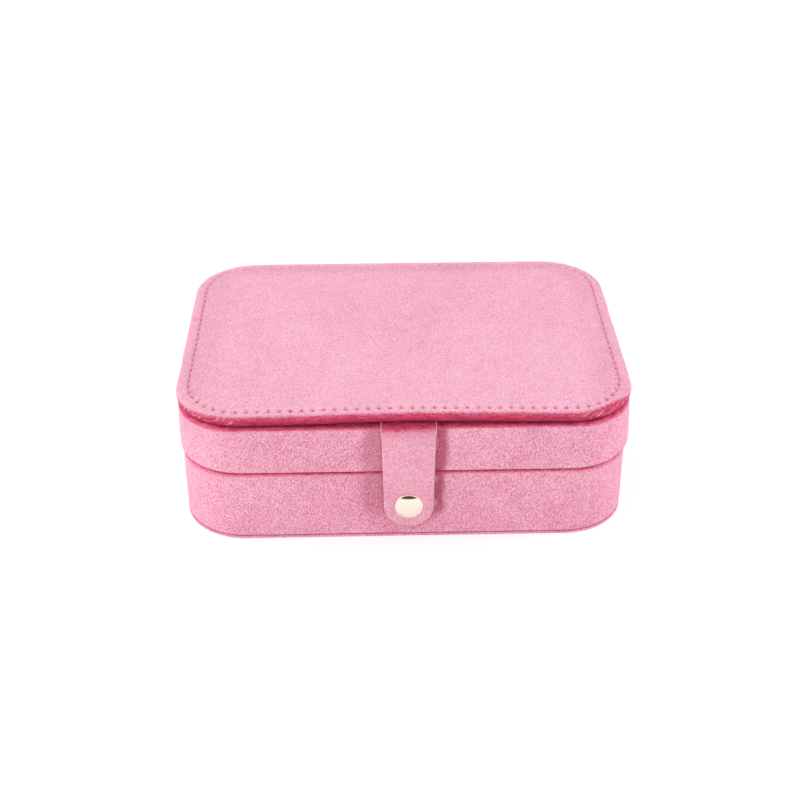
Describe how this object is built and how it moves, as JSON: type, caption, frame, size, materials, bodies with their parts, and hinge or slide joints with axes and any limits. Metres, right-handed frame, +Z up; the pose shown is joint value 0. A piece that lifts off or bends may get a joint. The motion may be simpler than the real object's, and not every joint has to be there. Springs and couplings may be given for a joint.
{
  "type": "jewelry box",
  "caption": "Small velvet travel jewelry box with rounded corners: a lower box and an upper tray that fold back on a cloth spine, a mirrored lid, and a snap strap.",
  "frame": {"origin": "centre of the underside of the bottom panel, on the surface the box stands on", "axes": "+X to the right seen from the strap side, +Y from the strap side to the spine, +Z up"},
  "size_m": [0.17, 0.1288, 0.0546],
  "materials": {
    "velvet_outside": "matte",
    "velvet_inside": "matte",
    "frame_board": "matte",
    "foam_core": "matte",
    "pale_gold": "polished",
    "mirror_glass": "polished",
    "sewing_thread": "satin"
  },
  "bodies": {
    "box": {"bottom_panel": "velvet_outside", "base_frame": "frame_board", "base_cover": "velvet_outside", "base_lining": "velvet_inside", "base_floor": "frame_board", "base_floor_pad": "velvet_inside", "base_divider_long": "velvet_inside", "base_divider_left": "velvet_inside", "base_divider_right": "velvet_inside", "snap_stud": "pale_gold", "snap_post": "pale_gold", "spine_on_base": "velvet_outside"},
    "tray": {"tray_frame": "frame_board", "tray_cover": "velvet_outside", "tray_lining": "velvet_inside", "tray_floor": "frame_board", "tray_underside": "velvet_inside", "tray_floor_pad": "velvet_inside", "tray_divider_left": "velvet_inside", "tray_divider_right": "velvet_inside", "tray_divider_cross": "velvet_inside", "spine_on_tray": "velvet_outside", "ring_roll_1": "velvet_inside", "ring_roll_2": "velvet_inside", "ring_roll_3": "velvet_inside", "ring_roll_4": "velvet_inside", "ring_roll_5": "velvet_inside", "ring_roll_6": "velvet_inside", "ring_roll_7": "velvet_inside", "ring_roll_8": "velvet_inside", "ring_roll_9": "velvet_inside", "ring_roll_10": "velvet_inside"},
    "lid": {"lid_cover": "velvet_outside", "lid_foam": "foam_core", "lid_board": "frame_board", "lid_lining": "velvet_inside", "lid_mirror": "mirror_glass", "strap_root": "velvet_outside", "spine_on_lid": "velvet_outside"},
    "strap": {"strap_face": "velvet_outside", "strap_backing": "velvet_outside", "snap_cap": "pale_gold", "snap_socket": "pale_gold"}
  },
  "joints": [
    {"name": "tray_hinge", "type": "hinge", "parent": "box", "child": "tray", "pos_m": [0, 0.063, 0.0294], "axis": [-1, 0, 0], "range_deg": [0, 90]},
    {"name": "lid_hinge", "type": "hinge", "parent": "tray", "child": "lid", "pos_m": [0, 0.063, 0.0494], "axis": [-1, 0, 0], "range_deg": [0, 95]},
    {"name": "strap_hinge", "type": "hinge", "parent": "lid", "child": "strap", "pos_m": [0.001, -0.0631, 0.0489], "axis": [-1, 0, 0], "range_deg": [0, 105]}
  ]
}
